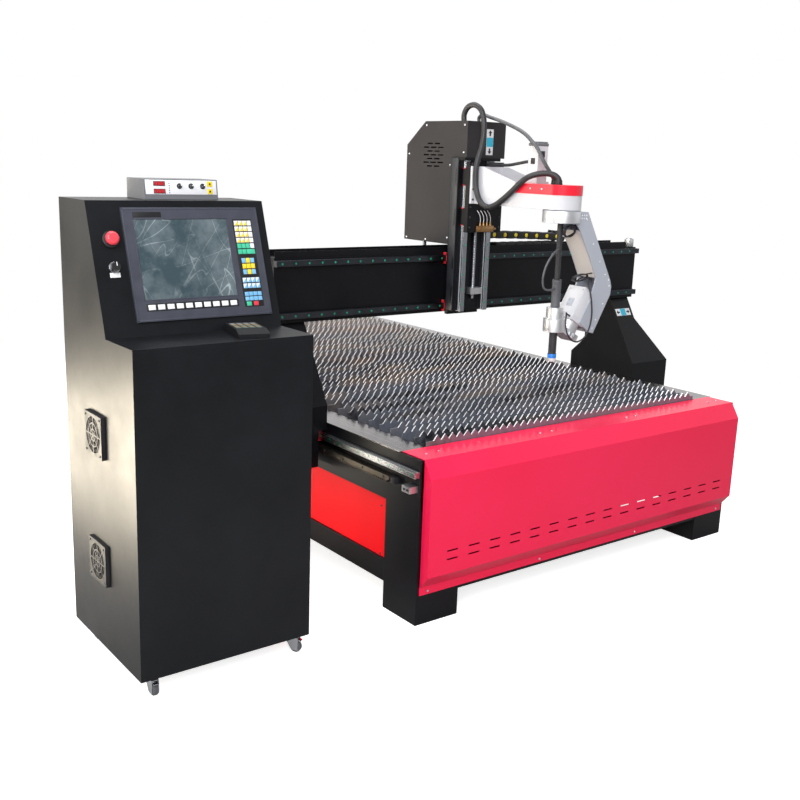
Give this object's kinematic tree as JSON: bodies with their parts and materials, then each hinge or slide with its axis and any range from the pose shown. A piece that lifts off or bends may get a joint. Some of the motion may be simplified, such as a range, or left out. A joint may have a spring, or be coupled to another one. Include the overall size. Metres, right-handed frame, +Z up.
{
  "type": "cnc plasma table",
  "caption": "Plasma cutting table with a slatted bed, a gantry on rails, a rotating and tilting bevel torch head and a wheeled operator console",
  "frame": {"origin": "on the floor under the middle of the whole machine's box, table and console together", "axes": "+X to the right of the front of the table, away from the console; +Y from the front to the rear along the table; +Z up"},
  "size_m": [2.973, 3.326, 1.8028],
  "materials": {
    "frame_black": "satin black powder coat on welded steel",
    "panel_red": "gloss red paint on pressed sheet",
    "galvanised": "bright galvanised sheet",
    "raw_steel": "bare mill steel, lightly rusted",
    "ground_steel": "ground and oiled steel",
    "aluminium": "machined, satin",
    "console_black": "satin black powder coat",
    "unit_grey": "moulded bezel with membrane keys",
    "screen_glass": "display glass",
    "black_plastic": "moulded nylon",
    "grey_paint": "grey painted sheet",
    "stop_red": "red moulded button",
    "chrome": "bright plated",
    "wheel_rubber": "moulded tread",
    "motor_black": "black painted motor housing",
    "cover_charcoal": "charcoal painted sheet",
    "head_white": "white painted",
    "cover_red": "red painted sheet",
    "arm_grey": "silver grey paint",
    "torch_black": "torch body and cup",
    "hose_rubber": "rubber hose and sleeved cable"
  },
  "bodies": {
    "machine": {"table_frame": "frame_black", "side_panels": "panel_red", "front_panel": "panel_red", "rear_panel": "panel_red", "top_strips": "galvanised", "slats": "raw_steel", "slag_tray": "raw_steel", "y_rails": "ground_steel", "y_racks": "ground_steel", "end_stops": "aluminium", "console_cabinet": "console_black", "console_rear_panel": "console_black", "control_unit": "unit_grey", "control_screen": "screen_glass", "switch_collars": "black_plastic", "thc_box": "grey_paint", "remote_handset": "black_plastic", "fan_frames": "black_plastic", "electrical_plate": "galvanised", "caster_forks_rear": "chrome"},
    "gantry": {"gantry_feet": "frame_black", "gantry_beam": "frame_black", "x_rails": "ground_steel", "x_rack": "ground_steel", "y_bearings": "ground_steel", "y_motors": "motor_black", "drag_chain": "black_plastic"},
    "y_drive": {"y_pinions": "ground_steel"},
    "carriage": {"carriage_plate": "frame_black", "x_bearings": "ground_steel", "carriage_motors": "motor_black", "carriage_cover": "cover_charcoal", "z_base": "frame_black", "z_rails": "ground_steel", "screw_bearings": "aluminium", "upper_hoses": "hose_rubber"},
    "x_drive": {"x_pinion": "ground_steel"},
    "screw": {"z_screw": "ground_steel"},
    "slide": {"z_slide_plate": "frame_black", "head_bracket": "head_white", "head_cover": "cover_red", "a_motor": "aluminium"},
    "arm": {"bevel_arm": "arm_grey", "tilt_motor": "head_white", "arm_hoses": "hose_rubber"},
    "torch_end": {"torch_holder": "aluminium", "torch": "torch_black"},
    "stop_push": {"estop_button": "stop_red"},
    "selector": {"selector_knob": "black_plastic"},
    "toggle_left": {"thc_toggle_left": "chrome"},
    "toggle_middle": {"thc_toggle_middle": "chrome"},
    "toggle_right": {"thc_toggle_right": "chrome"},
    "fan_upper": {"fan_rotor_upper": "black_plastic"},
    "fan_lower": {"fan_rotor_lower": "black_plastic"},
    "caster_front_left": {"caster_fork_front_left": "chrome"},
    "caster_front_right": {"caster_fork_front_right": "chrome"},
    "wheel_front_left": {"caster_wheel_front_left": "wheel_rubber"},
    "wheel_front_right": {"caster_wheel_front_right": "wheel_rubber"},
    "wheel_rear_left": {"caster_wheel_rear_left": "wheel_rubber"},
    "wheel_rear_right": {"caster_wheel_rear_right": "wheel_rubber"}
  },
  "joints": [
    {"name": "gantry_slide", "type": "slide", "parent": "machine", "child": "gantry", "axis": [0, 1, 0], "range_m": [-0.35, 2.15]},
    {"name": "x_slide", "type": "slide", "parent": "gantry", "child": "carriage", "axis": [1, 0, 0], "range_m": [-0.62, 0.88], "deforming": ["drag_chain"]},
    {"name": "z_slide", "type": "slide", "parent": "carriage", "child": "slide", "axis": [0, 0, 1], "range_m": [-0.2, 0.01], "deforming": ["upper_hoses"]},
    {"name": "head_rotate", "type": "hinge", "parent": "slide", "child": "arm", "pos_m": [0.2355, -1.479, 1.412], "axis": [0, 0, 1], "range_deg": [-180, 180]},
    {"name": "torch_tilt", "type": "hinge", "parent": "arm", "child": "torch_end", "pos_m": [0.2355, -1.479, 0.848], "axis": [0.5, 0, 0.866], "range_deg": [-100, 100], "deforming": ["arm_hoses"]},
    {"name": "y_pinion_spin", "type": "hinge", "parent": "gantry", "child": "y_drive", "pos_m": [-0.4945, -0.8505, 0.452], "axis": [1, 0, 0], "continuous": true},
    {"name": "x_pinion_spin", "type": "hinge", "parent": "carriage", "child": "x_drive", "pos_m": [0.2355, -0.677, 1.15], "axis": [0, 0, 1], "continuous": true},
    {"name": "z_screw_spin", "type": "hinge", "parent": "carriage", "child": "screw", "pos_m": [0.2355, -1.004, 1.3], "axis": [0, 0, 1], "continuous": true},
    {"name": "estop_push", "type": "slide", "parent": "machine", "child": "stop_push", "axis": [0, 0.9482, -0.3177], "range_m": [0, 0.006], "stiffness_N_per_m": 2000},
    {"name": "selector_turn", "type": "hinge", "parent": "machine", "child": "selector", "pos_m": [-1.4175, -1.32187, 1.24138], "axis": [0, -0.9482, 0.3177], "range_deg": [-45, 45]},
    {"name": "thc_toggle_left_flip", "type": "hinge", "parent": "machine", "child": "toggle_left", "pos_m": [-1.14735, -1.18639, 1.46942], "axis": [1, 0, 0], "range_deg": [-12, 12]},
    {"name": "thc_toggle_middle_flip", "type": "hinge", "parent": "machine", "child": "toggle_middle", "pos_m": [-1.10815, -1.18639, 1.46942], "axis": [1, 0, 0], "range_deg": [-12, 12]},
    {"name": "thc_toggle_right_flip", "type": "hinge", "parent": "machine", "child": "toggle_right", "pos_m": [-1.06895, -1.18639, 1.46942], "axis": [1, 0, 0], "range_deg": [-12, 12]},
    {"name": "fan_upper_spin", "type": "hinge", "parent": "machine", "child": "fan_upper", "pos_m": [-1.4745, -1.293, 0.746], "axis": [1, 0, 0], "continuous": true},
    {"name": "fan_lower_spin", "type": "hinge", "parent": "machine", "child": "fan_lower", "pos_m": [-1.4745, -1.293, 0.346], "axis": [1, 0, 0], "continuous": true},
    {"name": "caster_swivel_front_left", "type": "hinge", "parent": "machine", "child": "caster_front_left", "pos_m": [-1.4265, -1.529, 0.061], "axis": [0, 0, 1], "continuous": true},
    {"name": "caster_swivel_front_right", "type": "hinge", "parent": "machine", "child": "caster_front_right", "pos_m": [-0.9475, -1.529, 0.061], "axis": [0, 0, 1], "continuous": true},
    {"name": "caster_wheel_front_left_roll", "type": "hinge", "parent": "caster_front_left", "child": "wheel_front_left", "pos_m": [-1.4265, -1.555, 0.019], "axis": [1, 0, 0], "continuous": true},
    {"name": "caster_wheel_front_right_roll", "type": "hinge", "parent": "caster_front_right", "child": "wheel_front_right", "pos_m": [-0.93259, -1.5503, 0.019], "axis": [0.8192, 0.5736, 0], "continuous": true},
    {"name": "caster_wheel_rear_left_roll", "type": "hinge", "parent": "machine", "child": "wheel_rear_left", "pos_m": [-1.4265, -1.122, 0.019], "axis": [1, 0, 0], "continuous": true},
    {"name": "caster_wheel_rear_right_roll", "type": "hinge", "parent": "machine", "child": "wheel_rear_right", "pos_m": [-0.9475, -1.122, 0.019], "axis": [1, 0, 0], "continuous": true}
  ],
  "couplings": [
    {"joint": "y_pinion_spin", "follows": "gantry_slide", "rad_per_m": 27.778},
    {"joint": "x_pinion_spin", "follows": "x_slide", "rad_per_m": -27.778},
    {"joint": "z_screw_spin", "follows": "z_slide", "rad_per_m": 628.32}
  ]
}
